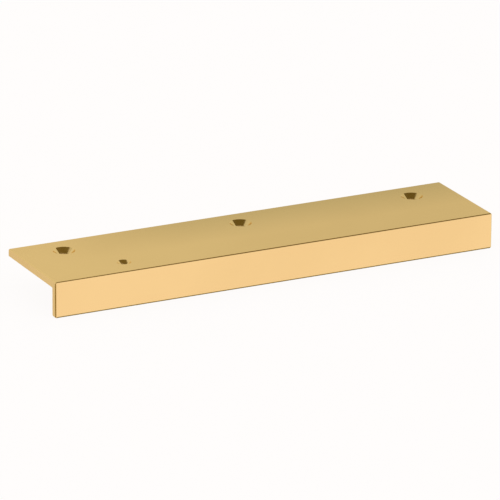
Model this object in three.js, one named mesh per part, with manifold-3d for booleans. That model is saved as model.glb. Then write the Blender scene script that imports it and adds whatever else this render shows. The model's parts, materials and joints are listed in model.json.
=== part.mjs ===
// Kick plate: one length of solid brass angle, screwed down through its wide flange.
//
// Millimetres, +Z up. The flange lies flat and the lip hangs down at the front, on the -Y side.
// The origin is the middle of the flange's flat underside, the face that seats on the work.

import * as THREE from 'three';
import { mergeVertices } from 'three/addons/utils/BufferGeometryUtils.js';
import Module from 'manifold-3d';

// ---------- driving dimensions ----------

const plateLength = 260;      // end to end, along X
const plateDepth = 60;        // front face to back edge, along Y
const plateHeight = 20;       // top of the flange to the bottom of the lip, along Z
const legThickness = 4;       // both legs of the angle

const insideFillet = 1;       // root radius between flange and lip
const edgeEasing = 1;         // rounding of every outer edge

const screwPitch = 104.5;     // between neighbouring countersunk holes
const screwFromBack = 15.4;   // hole centres to the back edge
const screwThroughRadius = 3.3;
const screwRimRadius = 6;     // every countersink is 90 degrees, so its depth is the rim's overhang

const smallFromLeftEnd = 46.3;   // the single small countersunk hole
const smallFromFront = 14.3;
const smallThroughRadius = 2.15;
const smallRimRadius = 3.8;

const arcSteps = 5;           // straight pieces in each quarter round
const holeSteps = 48;         // straight pieces round each hole
const cutterOverrun = 1;      // how far a cutting or trimming solid runs past the plate

// ---------- places that follow from them ----------

const flangeTop = legThickness;
const lipBottom = flangeTop - plateHeight;
const backEdge = (plateDepth - legThickness) / 2;
const lipBack = -backEdge;
const frontFace = backEdge - plateDepth;
const endFace = plateLength / 2;

const screwY = backEdge - screwFromBack;
const screwXs = [-screwPitch, 0, screwPitch];
const smallX = smallFromLeftEnd - endFace;
const smallY = frontFace + smallFromFront;

// ---------- solids ----------

const wasm = await Module();
wasm.setup();

/** A closed geometry as a solid that can be cut. */
function solidFrom(geometry) {
  const bare = geometry.clone();
  bare.deleteAttribute('normal');
  bare.deleteAttribute('uv');
  const merged = mergeVertices(bare);
  return new wasm.Manifold(new wasm.Mesh({
    numProp: 3,
    vertProperties: new Float32Array(merged.attributes.position.array),
    triVerts: new Uint32Array(merged.index.array),
  }));
}

/** A solid as a geometry with flat-shaded faces. */
function geometryFrom(solid) {
  const mesh = solid.getMesh();
  const geometry = new THREE.BufferGeometry();
  geometry.setAttribute('position', new THREE.BufferAttribute(mesh.vertProperties, 3));
  geometry.setIndex(new THREE.BufferAttribute(mesh.triVerts, 1));
  const faceted = geometry.toNonIndexed();
  faceted.computeVertexNormals();
  return faceted;
}

/** An outline drawn in the plane of two axes, and run from a start point at right angles to both. */
function bar(outline, across, up, start, length) {
  const geometry = new THREE.ExtrudeGeometry(outline, {
    depth: length,
    curveSegments: arcSteps,
    bevelEnabled: false,
  });
  const along = new THREE.Vector3().crossVectors(across, up);
  geometry.applyMatrix4(new THREE.Matrix4().makeBasis(across, up, along).setPosition(start));
  return solidFrom(geometry);
}

/** Carries an outline, drawn anticlockwise, round an eased outer corner that starts at an angle. */
function easeCorner(outline, x, y, start) {
  outline.absarc(x, y, edgeEasing, start, start + Math.PI / 2, false);
}

/** The angle's section, with Y across and Z up. */
function sectionOutline() {
  const outline = new THREE.Shape();
  const easedBack = backEdge - edgeEasing;
  const easedFront = frontFace + edgeEasing;
  const easedTop = flangeTop - edgeEasing;
  const easedBottom = lipBottom + edgeEasing;
  easeCorner(outline, easedBack, edgeEasing, 1.5 * Math.PI);
  easeCorner(outline, easedBack, easedTop, 0);
  easeCorner(outline, easedFront, easedTop, 0.5 * Math.PI);
  easeCorner(outline, easedFront, easedBottom, Math.PI);
  easeCorner(outline, lipBack - edgeEasing, easedBottom, 1.5 * Math.PI);
  outline.absarc(lipBack + insideFillet, -insideFillet, insideFillet, Math.PI, Math.PI / 2, true);
  outline.closePath();
  return outline;
}

/** The plate's outline in plan or from the front, which is a rectangle with eased corners. */
function boxOutline(low, high) {
  const outline = new THREE.Shape();
  const easedEnd = endFace - edgeEasing;
  easeCorner(outline, easedEnd, high - edgeEasing, 0);
  easeCorner(outline, -easedEnd, high - edgeEasing, 0.5 * Math.PI);
  easeCorner(outline, -easedEnd, low + edgeEasing, Math.PI);
  easeCorner(outline, easedEnd, low + edgeEasing, 1.5 * Math.PI);
  outline.closePath();
  return outline;
}

/** The undrilled angle: where its outlines from the end, from above and from the front all overlap. */
function angleBlank() {
  const x = new THREE.Vector3(1, 0, 0);
  const y = new THREE.Vector3(0, 1, 0);
  const z = new THREE.Vector3(0, 0, 1);
  const leftEnd = new THREE.Vector3(-endFace, 0, 0);
  const below = new THREE.Vector3(0, 0, lipBottom - cutterOverrun);
  const behind = new THREE.Vector3(0, backEdge + cutterOverrun, 0);
  const fromEnd = bar(sectionOutline(), y, z, leftEnd, plateLength);
  const fromAbove = bar(boxOutline(frontFace, backEdge), x, y, below, plateHeight + 2 * cutterOverrun);
  const fromFront = bar(boxOutline(lipBottom, flangeTop), x, z, behind, plateDepth + 2 * cutterOverrun);
  return fromEnd.intersect(fromAbove).intersect(fromFront);
}

/** A cutter for a round hole through the flange, widening at 45 degrees to its rim at the top. */
function holeCutter(x, y, throughRadius, rimRadius) {
  const coneDepth = rimRadius - throughRadius;
  const low = -cutterOverrun;
  const high = flangeTop + cutterOverrun;
  const profile = [
    new THREE.Vector2(0, low),
    new THREE.Vector2(throughRadius, low),
    new THREE.Vector2(throughRadius, flangeTop - coneDepth),
    new THREE.Vector2(rimRadius + cutterOverrun, high),
    new THREE.Vector2(0, high),
  ];
  const geometry = new THREE.LatheGeometry(profile, holeSteps);
  geometry.rotateX(Math.PI / 2);
  geometry.translate(x, y, 0);
  return solidFrom(geometry);
}

function anglePlateGeometry() {
  let plate = angleBlank();
  for (const x of screwXs) {
    plate = plate.subtract(holeCutter(x, screwY, screwThroughRadius, screwRimRadius));
  }
  plate = plate.subtract(holeCutter(smallX, smallY, smallThroughRadius, smallRimRadius));
  return geometryFrom(plate);
}

// ---------- scene graph ----------

const polishedBrass = new THREE.MeshStandardMaterial({
  color: new THREE.Color('#e6bd78'),
  roughness: 0.25,
  metalness: 1,
});

const anglePlate = new THREE.Mesh(anglePlateGeometry(), polishedBrass);
anglePlate.name = 'angle_plate';

const kickPlate = new THREE.Group();
kickPlate.add(anglePlate);

export default kickPlate;
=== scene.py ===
"""Kick plate: the fine surface, the brass and the studio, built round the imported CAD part.

Everything is in metres, in the part's own frame: X along the plate, -Y towards its front lip, +Z up.
"""

import json
import math

import bmesh
import bpy
from mathutils import Matrix, Vector
from mathutils.geometry import delaunay_2d_cdt


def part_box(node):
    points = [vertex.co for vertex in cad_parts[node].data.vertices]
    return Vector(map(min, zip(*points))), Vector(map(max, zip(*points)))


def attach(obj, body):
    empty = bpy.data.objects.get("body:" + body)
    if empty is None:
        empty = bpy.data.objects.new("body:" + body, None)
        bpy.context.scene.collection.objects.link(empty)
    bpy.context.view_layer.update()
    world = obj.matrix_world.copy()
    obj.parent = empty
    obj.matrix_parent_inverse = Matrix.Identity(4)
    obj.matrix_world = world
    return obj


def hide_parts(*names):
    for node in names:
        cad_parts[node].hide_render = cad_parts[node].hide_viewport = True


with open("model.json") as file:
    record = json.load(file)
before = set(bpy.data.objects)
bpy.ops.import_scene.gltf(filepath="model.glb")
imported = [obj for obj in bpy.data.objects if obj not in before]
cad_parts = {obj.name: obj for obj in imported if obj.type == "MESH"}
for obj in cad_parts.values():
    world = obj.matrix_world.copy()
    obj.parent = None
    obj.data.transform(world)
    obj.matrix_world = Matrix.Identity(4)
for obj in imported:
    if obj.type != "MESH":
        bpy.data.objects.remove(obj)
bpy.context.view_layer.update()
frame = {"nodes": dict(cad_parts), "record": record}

MM = 0.001
NODE = "angle_plate"
BODY = "root"

# Rounded edges of the fine surface.
EASING = 1.0 * MM             # the outer edges and the root between the legs, as in the CAD part
BROKEN_EDGE = 0.25 * MM       # the inner edges at the ends, which the CAD part leaves sharp
EDGE_SEGMENTS = 8

# Holes.
LARGEST_HOLE = 16 * MM        # wider than any hole, and narrower than the gap between any two
COUNTERSINK_SLOPE = 45        # degrees from the top face
RIM_ROUNDING = 0.12 * MM
RIM_LAND = 0.25 * MM          # flat ring round each rim, which keeps the face beyond it evenly shaded
HOLE_SEGMENTS = 120
ROUNDING_STEPS = 4            # in the rounding of each corner of a hole

# Flat faces.
FACE_GRID = 4.0 * MM          # spacing of the points that keep their triangles even
GRID_CLEARANCE = 1.2 * MM     # between those points and the holes
TOUCH = 0.01 * MM             # closer than this is on the plane
TRIANGLES_INSIDE = 1          # delaunay_2d_cdt: keep only the triangles within the border
MERGE_WITHIN = 1e-9           # delaunay_2d_cdt: points closer than this are one
LARGE_FACES_WIN = 100         # weighted normals: the flat faces outweigh the roundings beside them

# Faces by finish, and the limits on their normals that tell them apart.
POLISHED, MILLED, SUNK, DRILLED = range(4)
LEVEL = 0.999                 # a face is level if its normal's Z is beyond this
UPRIGHT = 0.3                 # a hole's wall is its bore if its normal's Z is within this
END_ON = 0.8                  # a face belongs to an end if its normal's X is beyond this


# ---------- what the frame says ----------


def mount_position(name):
    """Where the record puts one of the part's mounts."""
    mounts = {mount["name"]: mount for mount in frame["record"]["mounts"]}
    return Vector(mounts[name]["pos_m"])


PLATE_LOW, PLATE_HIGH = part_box(NODE)
TOP = PLATE_HIGH.z
UNDERSIDE = mount_position("flange_seat").z
LIP_BACK = mount_position("lip_back").y
CENTRE = (PLATE_LOW + PLATE_HIGH) / 2


def cad_rings(height):
    """Centre and radius of each hole's ring of CAD vertices at one height, from left to right."""
    inside_ends = PLATE_HIGH.x - 2 * EASING
    points = [v.co.xy for v in frame["nodes"][NODE].data.vertices if abs(v.co.z - height) < TOUCH]
    points = [p for p in points if abs(p.x) < inside_ends]
    rings = []
    for point in sorted(points, key=lambda p: p.x):
        near = [ring for ring in rings if (ring[0] - point).length < LARGEST_HOLE]
        if near:
            near[0].append(point)
        else:
            rings.append([point])
    found = []
    for ring in rings:
        low = Vector((min(p.x for p in ring), min(p.y for p in ring)))
        high = Vector((max(p.x for p in ring), max(p.y for p in ring)))
        found.append(((low + high) / 2, (high.x - low.x) / 2))
    return found


# ---------- mesh ----------


def angle_blank():
    """The sharp-edged angle as a bmesh, with its bevel weights: 1 for the full easing."""
    left, right = PLATE_LOW.x, PLATE_HIGH.x
    front, back = PLATE_LOW.y, PLATE_HIGH.y
    section = [
        (front, PLATE_LOW.z),
        (LIP_BACK, PLATE_LOW.z),
        (LIP_BACK, UNDERSIDE),
        (back, UNDERSIDE),
        (back, TOP),
        (front, TOP),
    ]
    bm = bmesh.new()
    ends = [[bm.verts.new((x, y, z)) for y, z in section] for x in (left, right)]
    bm.faces.new(ends[0])
    bm.faces.new(reversed(ends[1]))
    for i in range(len(section)):
        j = (i + 1) % len(section)
        bm.faces.new((ends[0][j], ends[0][i], ends[1][i], ends[1][j]))
    bmesh.ops.recalc_face_normals(bm, faces=bm.faces)
    weight = bm.edges.layers.float.new("bevel_weight_edge")
    root = Vector((LIP_BACK, UNDERSIDE))
    for edge in bm.edges:
        at_root = [(v.co.yz - root).length < TOUCH for v in edge.verts]
        inner = any(at_root) and not all(at_root)
        edge[weight] = BROKEN_EDGE / EASING if inner else 1.0
    return bm


def rounded(bm):
    """The blank after its weighted bevel, as a new bmesh."""
    mesh = bpy.data.meshes.new("blank")
    bm.to_mesh(mesh)
    bm.free()
    blank = bpy.data.objects.new("blank", mesh)
    bpy.context.scene.collection.objects.link(blank)
    bevel = blank.modifiers.new("edges", "BEVEL")
    bevel.limit_method = "WEIGHT"
    bevel.width = EASING
    bevel.segments = EDGE_SEGMENTS
    bevel.use_clamp_overlap = False
    graph = bpy.context.evaluated_depsgraph_get()
    shaped = bpy.data.meshes.new_from_object(blank.evaluated_get(graph))
    bpy.data.objects.remove(blank)
    result = bmesh.new()
    result.from_mesh(shaped)
    bpy.data.meshes.remove(shaped)
    return result


def rounding(x, height, start, end):
    """Points along a hole's rounded corner, from start to end in degrees about its centre."""
    points = []
    for i in range(ROUNDING_STEPS + 1):
        angle = math.radians(start + (end - start) * i / ROUNDING_STEPS)
        points.append(Vector((x + RIM_ROUNDING * math.cos(angle), height + RIM_ROUNDING * math.sin(angle))))
    return points


def hole_profile(rim_radius, through_radius):
    """A countersunk hole as (radius, height) points, from the top face's land to the underside's."""
    # How far a rounding starts from the corner between the countersink and the face or bore beside it.
    setback = RIM_ROUNDING * math.tan(math.radians(COUNTERSINK_SLOPE / 2))
    shoulder = TOP - (rim_radius - through_radius)
    slope = 90 + COUNTERSINK_SLOPE
    top_arc = rounding(rim_radius + setback, TOP - RIM_ROUNDING, 90, slope)
    waist = rounding(through_radius + RIM_ROUNDING, shoulder - setback, slope, 180)
    exit_arc = rounding(through_radius + RIM_ROUNDING, UNDERSIDE + RIM_ROUNDING, 180, 270)
    top_land = [Vector((top_arc[0].x + RIM_LAND, TOP))]
    exit_land = [Vector((exit_arc[-1].x + RIM_LAND, UNDERSIDE))]
    return top_land + top_arc + waist + exit_arc + exit_land


def ring_at(bm, centre, radius, height):
    """A ring of vertices round a hole."""
    turns = [math.tau * i / HOLE_SEGMENTS for i in range(HOLE_SEGMENTS)]
    return [
        bm.verts.new((centre.x + radius * math.cos(a), centre.y + radius * math.sin(a), height))
        for a in turns
    ]


def hole_wall(bm, centre, profile):
    """One hole's wall and lands. Returns the first and last rings, which the flat faces join on to."""
    rings = [ring_at(bm, centre, radius, height) for radius, height in profile]
    for upper, lower in zip(rings, rings[1:]):
        for i in range(HOLE_SEGMENTS):
            j = (i + 1) % HOLE_SEGMENTS
            face = bm.faces.new((upper[i], upper[j], lower[j], lower[i]))
            face.material_index = SUNK
    return rings[0], rings[-1]


def grid_points(low, high, circles):
    """Evenly spaced points inside a flat face that keep clear of its holes."""
    columns = math.ceil((high.x - low.x) / FACE_GRID)
    rows = math.ceil((high.y - low.y) / FACE_GRID)
    points = []
    for i in range(1, columns):
        for j in range(1, rows):
            point = Vector((low.x + (high.x - low.x) * i / columns, low.y + (high.y - low.y) * j / rows))
            if all((point - centre).length > radius + GRID_CLEARANCE for centre, radius in circles):
                points.append(point)
    return points


def pierce(bm, height, facing, circles, rings):
    """Swaps the flat face at one height for an even triangulation that leaves the rings open."""
    flat = [
        f for f in bm.faces
        if abs(f.calc_center_median().z - height) < TOUCH and f.normal.z * facing > LEVEL
    ]
    face = max(flat, key=lambda f: f.calc_area())
    border = list(face.verts)
    bm.faces.remove(face)
    loops = [border] + rings
    verts = [v for loop in loops for v in loop]
    edges = []
    start = 0
    for loop in loops:
        count = len(loop)
        edges += [(start + i, start + (i + 1) % count) for i in range(count)]
        start += count
    low = Vector((min(v.co.x for v in border), min(v.co.y for v in border)))
    high = Vector((max(v.co.x for v in border), max(v.co.y for v in border)))
    inner = grid_points(low, high, circles)
    places = [v.co.xy for v in verts] + inner
    verts += [bm.verts.new((p.x, p.y, height)) for p in inner]
    _, _, triangles, _, _, _ = delaunay_2d_cdt(places, edges, [], TRIANGLES_INSIDE, MERGE_WITHIN)
    for triangle in triangles:
        middle = sum((places[i] for i in triangle), Vector((0, 0))) / 3
        if any((middle - centre).length < radius for centre, radius in circles):
            continue
        corners = [verts[i] for i in triangle]
        bm.faces.new(corners if facing > 0 else corners[::-1])


def finish_of(face):
    """Which finish a face has, from where it is."""
    centre = face.calc_center_median()
    level = abs(face.normal.z)
    if face.material_index == SUNK and level < LEVEL:
        return DRILLED if level < UPRIGHT else SUNK
    inside = centre.z < UNDERSIDE + EASING / 2 and centre.y > LIP_BACK - EASING / 2
    at_end = abs(face.normal.x) > END_ON
    return MILLED if inside or at_end else POLISHED


def build_plate():
    """The whole plate as one closed mesh object."""
    bm = rounded(angle_blank())
    walls = []
    for (centre, rim_radius), (_, through_radius) in zip(cad_rings(TOP), cad_rings(UNDERSIDE)):
        profile = hole_profile(rim_radius, through_radius)
        walls.append((centre, profile, hole_wall(bm, centre, profile)))
    for end, height, facing in ((0, TOP, 1), (-1, UNDERSIDE, -1)):
        circles = [(centre, profile[end][0]) for centre, profile, _ in walls]
        pierce(bm, height, facing, circles, [rings[end] for _, _, rings in walls])
    bmesh.ops.recalc_face_normals(bm, faces=bm.faces)
    for face in bm.faces:
        face.material_index = finish_of(face)
        face.smooth = True
    mesh = bpy.data.meshes.new("kick_plate")
    bm.to_mesh(mesh)
    bm.free()
    plate = bpy.data.objects.new("kick_plate", mesh)
    bpy.context.scene.collection.objects.link(plate)
    normals = plate.modifiers.new("flat_faces_stay_flat", "WEIGHTED_NORMAL")
    normals.mode = "FACE_AREA"
    normals.weight = LARGE_FACES_WIN
    return plate


# ---------- materials ----------


class Nodes:
    """A short way to write a node tree: each method adds a node and returns its output."""

    def __init__(self, tree):
        self.tree = tree
        tree.nodes.clear()

    def add(self, kind, **settings):
        node = self.tree.nodes.new(kind)
        for name, value in settings.items():
            setattr(node, name, value)
        return node

    def put(self, socket, value):
        if isinstance(value, bpy.types.NodeSocket):
            self.tree.links.new(value, socket)
        else:
            socket.default_value = value

    def math(self, operation, a, b=0.0):
        node = self.add("ShaderNodeMath", operation=operation)
        self.put(node.inputs[0], a)
        self.put(node.inputs[1], b)
        return node.outputs[0]

    def vector(self, operation, a, b=(0, 0, 0)):
        node = self.add("ShaderNodeVectorMath", operation=operation)
        self.put(node.inputs[0], a)
        self.put(node.inputs[1], b)
        return node.outputs["Value" if operation == "DOT_PRODUCT" else "Vector"]

    def ramp(self, value, start, end, low, high, smooth=True):
        """low below start, high above end."""
        kind = "SMOOTHSTEP" if smooth else "LINEAR"
        node = self.add("ShaderNodeMapRange", interpolation_type=kind)
        for socket, given in zip(node.inputs, (value, start, end, low, high)):
            self.put(socket, given)
        return node.outputs[0]

    def blend(self, share, a, b):
        """Colour a where share is 0, and b where it is 1."""
        node = self.add("ShaderNodeMix", data_type="RGBA")
        self.put(node.inputs["Factor"], share)
        self.put(node.inputs[6], a)
        self.put(node.inputs[7], b)
        return node.outputs[2]

    def tint(self, a, b):
        """Colour a times colour b."""
        node = self.add("ShaderNodeMix", data_type="RGBA", blend_type="MULTIPLY")
        self.put(node.inputs["Factor"], 1.0)
        self.put(node.inputs[6], a)
        self.put(node.inputs[7], b)
        return node.outputs[2]

    def parts(self, place):
        node = self.add("ShaderNodeSeparateXYZ")
        self.put(node.inputs[0], place)
        return node.outputs

    def noise(self, place, scale, detail=2.0, roughness=0.5):
        node = self.add("ShaderNodeTexNoise")
        self.put(node.inputs["Vector"], place)
        self.put(node.inputs["Scale"], scale)
        self.put(node.inputs["Detail"], detail)
        self.put(node.inputs["Roughness"], roughness)
        return node.outputs["Fac"]

    def bump(self, height, strength, distance):
        node = self.add("ShaderNodeBump")
        self.put(node.inputs["Height"], height)
        self.put(node.inputs["Strength"], strength)
        self.put(node.inputs["Distance"], distance)
        return node.outputs["Normal"]


BRASS = (0.78, 0.56, 0.232, 1)
BRASS_DEEP = (0.72, 0.51, 0.205, 1)
# Painted shade inside the holes: the drilled bore walls get the darker brass below.
BRASS_BORE_SHADE = (0.50, 0.37, 0.15, 1)
BRASS_BORE_SHADE_DEEP = (0.40, 0.28, 0.10, 1)
GRAZING_TINT = (1.0, 0.90, 0.68, 1)   # takes the white out of the metal's grazing reflection

POLISHED_ROUGHNESS = 0.11
MILLED_ROUGHNESS = 0.34
SUNK_ROUGHNESS = 0.10
DRILLED_ROUGHNESS = 0.35

# Noise in the brass, with its scales in features a metre.
GRAIN_ALONG = (90.0, 5000.0, 5000.0)      # drawn out along the plate
GRAIN_EVEN = (2500.0, 2500.0, 2500.0)
FINE_GRAIN = 0.0004 * MM      # depth
COARSE_GRAIN = 0.002 * MM
GRAIN_BROKEN = 0.6            # how strongly its finer octaves show
GRAIN_WEAR = 0.015            # roughness that it adds or takes away
CLOUD_SCALE = 120.0           # of the uneven polish
CLOUD_WEAR = 0.02             # roughness that it adds or takes away
DRIFT_SCALE = 14.0            # of the slow colour drift
DRIFT_SHARE = 0.4             # of the deeper brass, where the drift is strongest
FINE_DETAIL = 3.0             # octaves of the finer noises
NOISE_LOW, NOISE_HIGH = 0.3, 0.7          # noise seldom goes past these
DRIFT_LOW, DRIFT_HIGH = 0.35, 0.65

# Painted shade on the top face: its brass is darker, and a little greener, towards the back edge and the
# right end.
PAINTED_SHADE_TINT = (0.66, 0.69, 0.65, 1)
PAINTED_SHADE_FROM = -8.0 * MM         # Y where the painted shade towards the back starts
PAINTED_SHADE_AT_BACK = 0.66
PAINTED_SHADE_AT_RIGHT = 0.26


def painted_top_shade(n, place):
    """How much painted shade the upward-facing brass gets: none at 0, the full painted shade tint at 1."""
    x, y, _ = n.parts(place)
    to_back = n.ramp(y, PAINTED_SHADE_FROM, PLATE_HIGH.y, 0.0, PAINTED_SHADE_AT_BACK, smooth=False)
    from_left = n.ramp(x, PLATE_LOW.x, CENTRE.x, 0.0, 1.0)
    to_right = n.ramp(x, PLATE_LOW.x, PLATE_HIGH.x / 2, 0.0, PAINTED_SHADE_AT_RIGHT, smooth=False)
    upward = n.math("MAXIMUM", n.parts(n.add("ShaderNodeTexCoord").outputs["Normal"])[2], 0.0)
    return n.math("MULTIPLY", n.math("ADD", n.math("MULTIPLY", to_back, from_left), to_right), upward)


def brass(name, light, deep, roughness, grain_stretch, grain_depth):
    """Brass with fine grain, slow colour drift, faint uneven polish and painted shade on its top face."""
    material = bpy.data.materials.new(name)
    material.use_nodes = True
    n = Nodes(material.node_tree)
    place = n.add("ShaderNodeTexCoord").outputs["Object"]
    drawn = n.vector("MULTIPLY", place, grain_stretch)
    grain = n.noise(drawn, 1.0, FINE_DETAIL, GRAIN_BROKEN)
    drift = n.noise(place, DRIFT_SCALE)
    cloud = n.noise(place, CLOUD_SCALE, FINE_DETAIL)
    shader = n.add("ShaderNodeBsdfPrincipled")
    clean = n.blend(n.ramp(drift, DRIFT_LOW, DRIFT_HIGH, 0.0, DRIFT_SHARE), light, deep)
    # the base colour carries painted shade, darker towards the top face's back and right end
    n.put(shader.inputs["Base Color"], n.tint(clean, n.blend(painted_top_shade(n, place), (1, 1, 1, 1), PAINTED_SHADE_TINT)))
    n.put(shader.inputs["Metallic"], 1.0)
    n.put(shader.inputs["Specular Tint"], GRAZING_TINT)
    worn = n.math("ADD", n.ramp(cloud, NOISE_LOW, NOISE_HIGH, -CLOUD_WEAR, CLOUD_WEAR), roughness)
    grained = n.math("ADD", worn, n.ramp(grain, NOISE_LOW, NOISE_HIGH, -GRAIN_WEAR, GRAIN_WEAR))
    n.put(shader.inputs["Roughness"], grained)
    n.put(shader.inputs["Normal"], n.bump(grain, 1.0, grain_depth))
    out = n.add("ShaderNodeOutputMaterial")
    n.put(out.inputs["Surface"], shader.outputs[0])
    return material


def plate_materials():
    """One material for each finish, in the order of the finish numbers."""
    # the drilled walls' darker brass is painted shade inside the holes
    bore_shade = (BRASS_BORE_SHADE, BRASS_BORE_SHADE_DEEP)
    return [
        brass("brass_polished", BRASS, BRASS_DEEP, POLISHED_ROUGHNESS, GRAIN_ALONG, FINE_GRAIN),
        brass("brass_milled", BRASS, BRASS_DEEP, MILLED_ROUGHNESS, GRAIN_EVEN, COARSE_GRAIN),
        brass("brass_countersunk", BRASS, BRASS_DEEP, SUNK_ROUGHNESS, GRAIN_EVEN, FINE_GRAIN),
        brass("brass_drilled", *bore_shade, DRILLED_ROUGHNESS, GRAIN_EVEN, COARSE_GRAIN),
    ]


# ---------- studio ----------

# Cards of the studio round the plate, as (towards, full within, gone beyond, light): angles in degrees from
# the direction that the card fills, and its colour. Later cards lie over earlier ones.
SURROUND = (0.90, 0.88, 0.83, 1)
SKY = (0.84, 0.82, 0.80, 1)
TABLE = (1.21, 1.125, 1.23, 1)
WALL = (0.95, 0.92, 0.98, 1)
LAMP = (0.98, 1.10, 1.44, 1)
SHADE = (0.20, 0.15, 0.045, 1)
STAND = (0.37, 0.28, 0.11, 1)
UNDER = (0.30, 0.27, 0.12, 1)
GOLDEN = (0.80, 0.66, 0.42, 1)
CARDS = [
    ((-0.06, -0.12, 0.99), 53, 55, SHADE),     # dark ceiling
    ((-0.09, 0.46, 0.88), 28, 31, SURROUND),   # opening in it
    ((0.62, 0.72, 0.30), 13, 20, SKY),         # what most of the top mirrors
    ((0.42, -0.85, -0.33), 50, 80, TABLE),     # pale table in front of the plate
    ((-0.42, 0.85, -0.33), 30, 50, WALL),      # pale wall behind the left end
    ((0.42, 0.10, -0.90), 50, 54, UNDER),      # dark under the plate
    ((0.85, 0.20, -0.33), 30, 40, LAMP),       # lamp beyond the right end
    ((-0.63, -0.11, -0.77), 46, 50, STAND),    # dark stand, low on the left
    ((-0.44, -0.44, -0.79), 28, 30, TABLE),    # pale table under it
    ((-1.00, 0.00, 0.10), 14, 18, GOLDEN),     # golden screens, level with the plate
    ((0.00, 1.00, 0.05), 18, 24, GOLDEN),
]
BACKDROP_WHITE = (1.0, 0.982, 0.973, 1)
ROOM_STRENGTH = 1.25          # of the plain light that falls on the floor


def studio_world():
    """White to the camera and evenly bright to the floor. The metal mirrors the cards."""
    world = bpy.data.worlds.new("studio")
    world.use_nodes = True
    n = Nodes(world.node_tree)
    towards = n.add("ShaderNodeTexCoord").outputs["Generated"]
    light = SURROUND
    for direction, full, gone, card in CARDS:
        facing = n.vector("DOT_PRODUCT", towards, Vector(direction).normalized())
        share = n.ramp(facing, math.cos(math.radians(gone)), math.cos(math.radians(full)), 0.0, 1.0)
        light = n.blend(share, light, card)
    rays = n.add("ShaderNodeLightPath").outputs
    mirrored = n.add("ShaderNodeBackground")
    n.put(mirrored.inputs["Color"], light)
    plain = n.add("ShaderNodeBackground")
    n.put(plain.inputs["Color"], BACKDROP_WHITE)
    n.put(plain.inputs["Strength"], n.ramp(rays["Is Camera Ray"], 0, 1, ROOM_STRENGTH, 1.0))
    pick = n.add("ShaderNodeMixShader")
    n.put(pick.inputs[0], rays["Is Glossy Ray"])
    n.put(pick.inputs[1], plain.outputs[0])
    n.put(pick.inputs[2], mirrored.outputs[0])
    out = n.add("ShaderNodeOutputWorld")
    n.put(out.inputs["Surface"], pick.outputs[0])
    bpy.context.scene.world = world


FLOOR_HALF = 60.0             # metres from the middle to each side
FLOOR_GLOW = 0.95             # share of the floor that is plain white, which keeps its shadows faint
PAPER = (0.79, 0.776, 0.768, 1)
PAPER_LIGHT = (0.81, 0.796, 0.788, 1)
PAPER_SCALE = 30.0            # of the paper's mottling, in features a metre


def build_floor():
    """A plain pale floor under the lip. The metal mirrors the studio's cards instead of it."""
    mesh = bpy.data.meshes.new("floor")
    height = PLATE_LOW.z
    corners = [(x * FLOOR_HALF, y * FLOOR_HALF, height) for x, y in ((-1, -1), (1, -1), (1, 1), (-1, 1))]
    mesh.from_pydata(corners, [], [(0, 1, 2, 3)])
    floor = bpy.data.objects.new("floor", mesh)
    bpy.context.scene.collection.objects.link(floor)
    material = bpy.data.materials.new("floor_white")
    material.use_nodes = True
    n = Nodes(material.node_tree)
    shader = n.add("ShaderNodeBsdfDiffuse")
    place = n.add("ShaderNodeTexCoord").outputs["Object"]
    mottling = n.ramp(n.noise(place, PAPER_SCALE), NOISE_LOW, NOISE_HIGH, 0.0, 1.0)
    n.put(shader.inputs["Color"], n.blend(mottling, PAPER, PAPER_LIGHT))
    glow = n.add("ShaderNodeEmission")
    n.put(glow.inputs["Color"], BACKDROP_WHITE)
    lit = n.add("ShaderNodeMixShader")
    n.put(lit.inputs[0], FLOOR_GLOW)
    n.put(lit.inputs[1], shader.outputs[0])
    n.put(lit.inputs[2], glow.outputs[0])
    out = n.add("ShaderNodeOutputMaterial")
    n.put(out.inputs["Surface"], lit.outputs[0])
    mesh.materials.append(material)
    floor.visible_glossy = False


# The camera looks at the plate from the front left, a little above, through a long lens.
VIEW_AZIMUTH = math.radians(-26.79)
VIEW_ELEVATION = math.radians(19.21)
VIEW_ROLL = math.radians(0.41)
VIEW_DISTANCE = 2.895         # metres
VIEW_LENS = 389.05            # both this and the sensor in millimetres
VIEW_SENSOR = 36
VIEW_NEAREST = 0.1
VIEW_FARTHEST = 200
AIM_RIGHT = -1.40 * MM        # the aim point's offset from the plate's centre, across the view
AIM_UP = -0.87 * MM


def build_camera():
    sideways, tilt = VIEW_AZIMUTH, VIEW_ELEVATION
    back = Vector((
        math.sin(sideways) * math.cos(tilt),
        -math.cos(sideways) * math.cos(tilt),
        math.sin(tilt),
    ))
    right = Vector((math.cos(sideways), math.sin(sideways), 0))
    up = back.cross(right)
    aim = CENTRE + right * AIM_RIGHT + up * AIM_UP
    turn = Matrix((right, up, back)).transposed() @ Matrix.Rotation(VIEW_ROLL, 3, "Z")
    data = bpy.data.cameras.new("camera")
    data.sensor_width = VIEW_SENSOR
    data.lens = VIEW_LENS
    data.clip_start = VIEW_NEAREST
    data.clip_end = VIEW_FARTHEST
    camera = bpy.data.objects.new("camera", data)
    camera.matrix_world = Matrix.Translation(aim + back * VIEW_DISTANCE) @ turn.to_4x4()
    bpy.context.scene.collection.objects.link(camera)
    bpy.context.scene.camera = camera


# ---------- the scene ----------

plate = build_plate()
for material in plate_materials():
    plate.data.materials.append(material)
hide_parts(NODE)
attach(plate, BODY)

build_floor()
studio_world()
build_camera()
bpy.context.scene.view_settings.view_transform = "Standard"
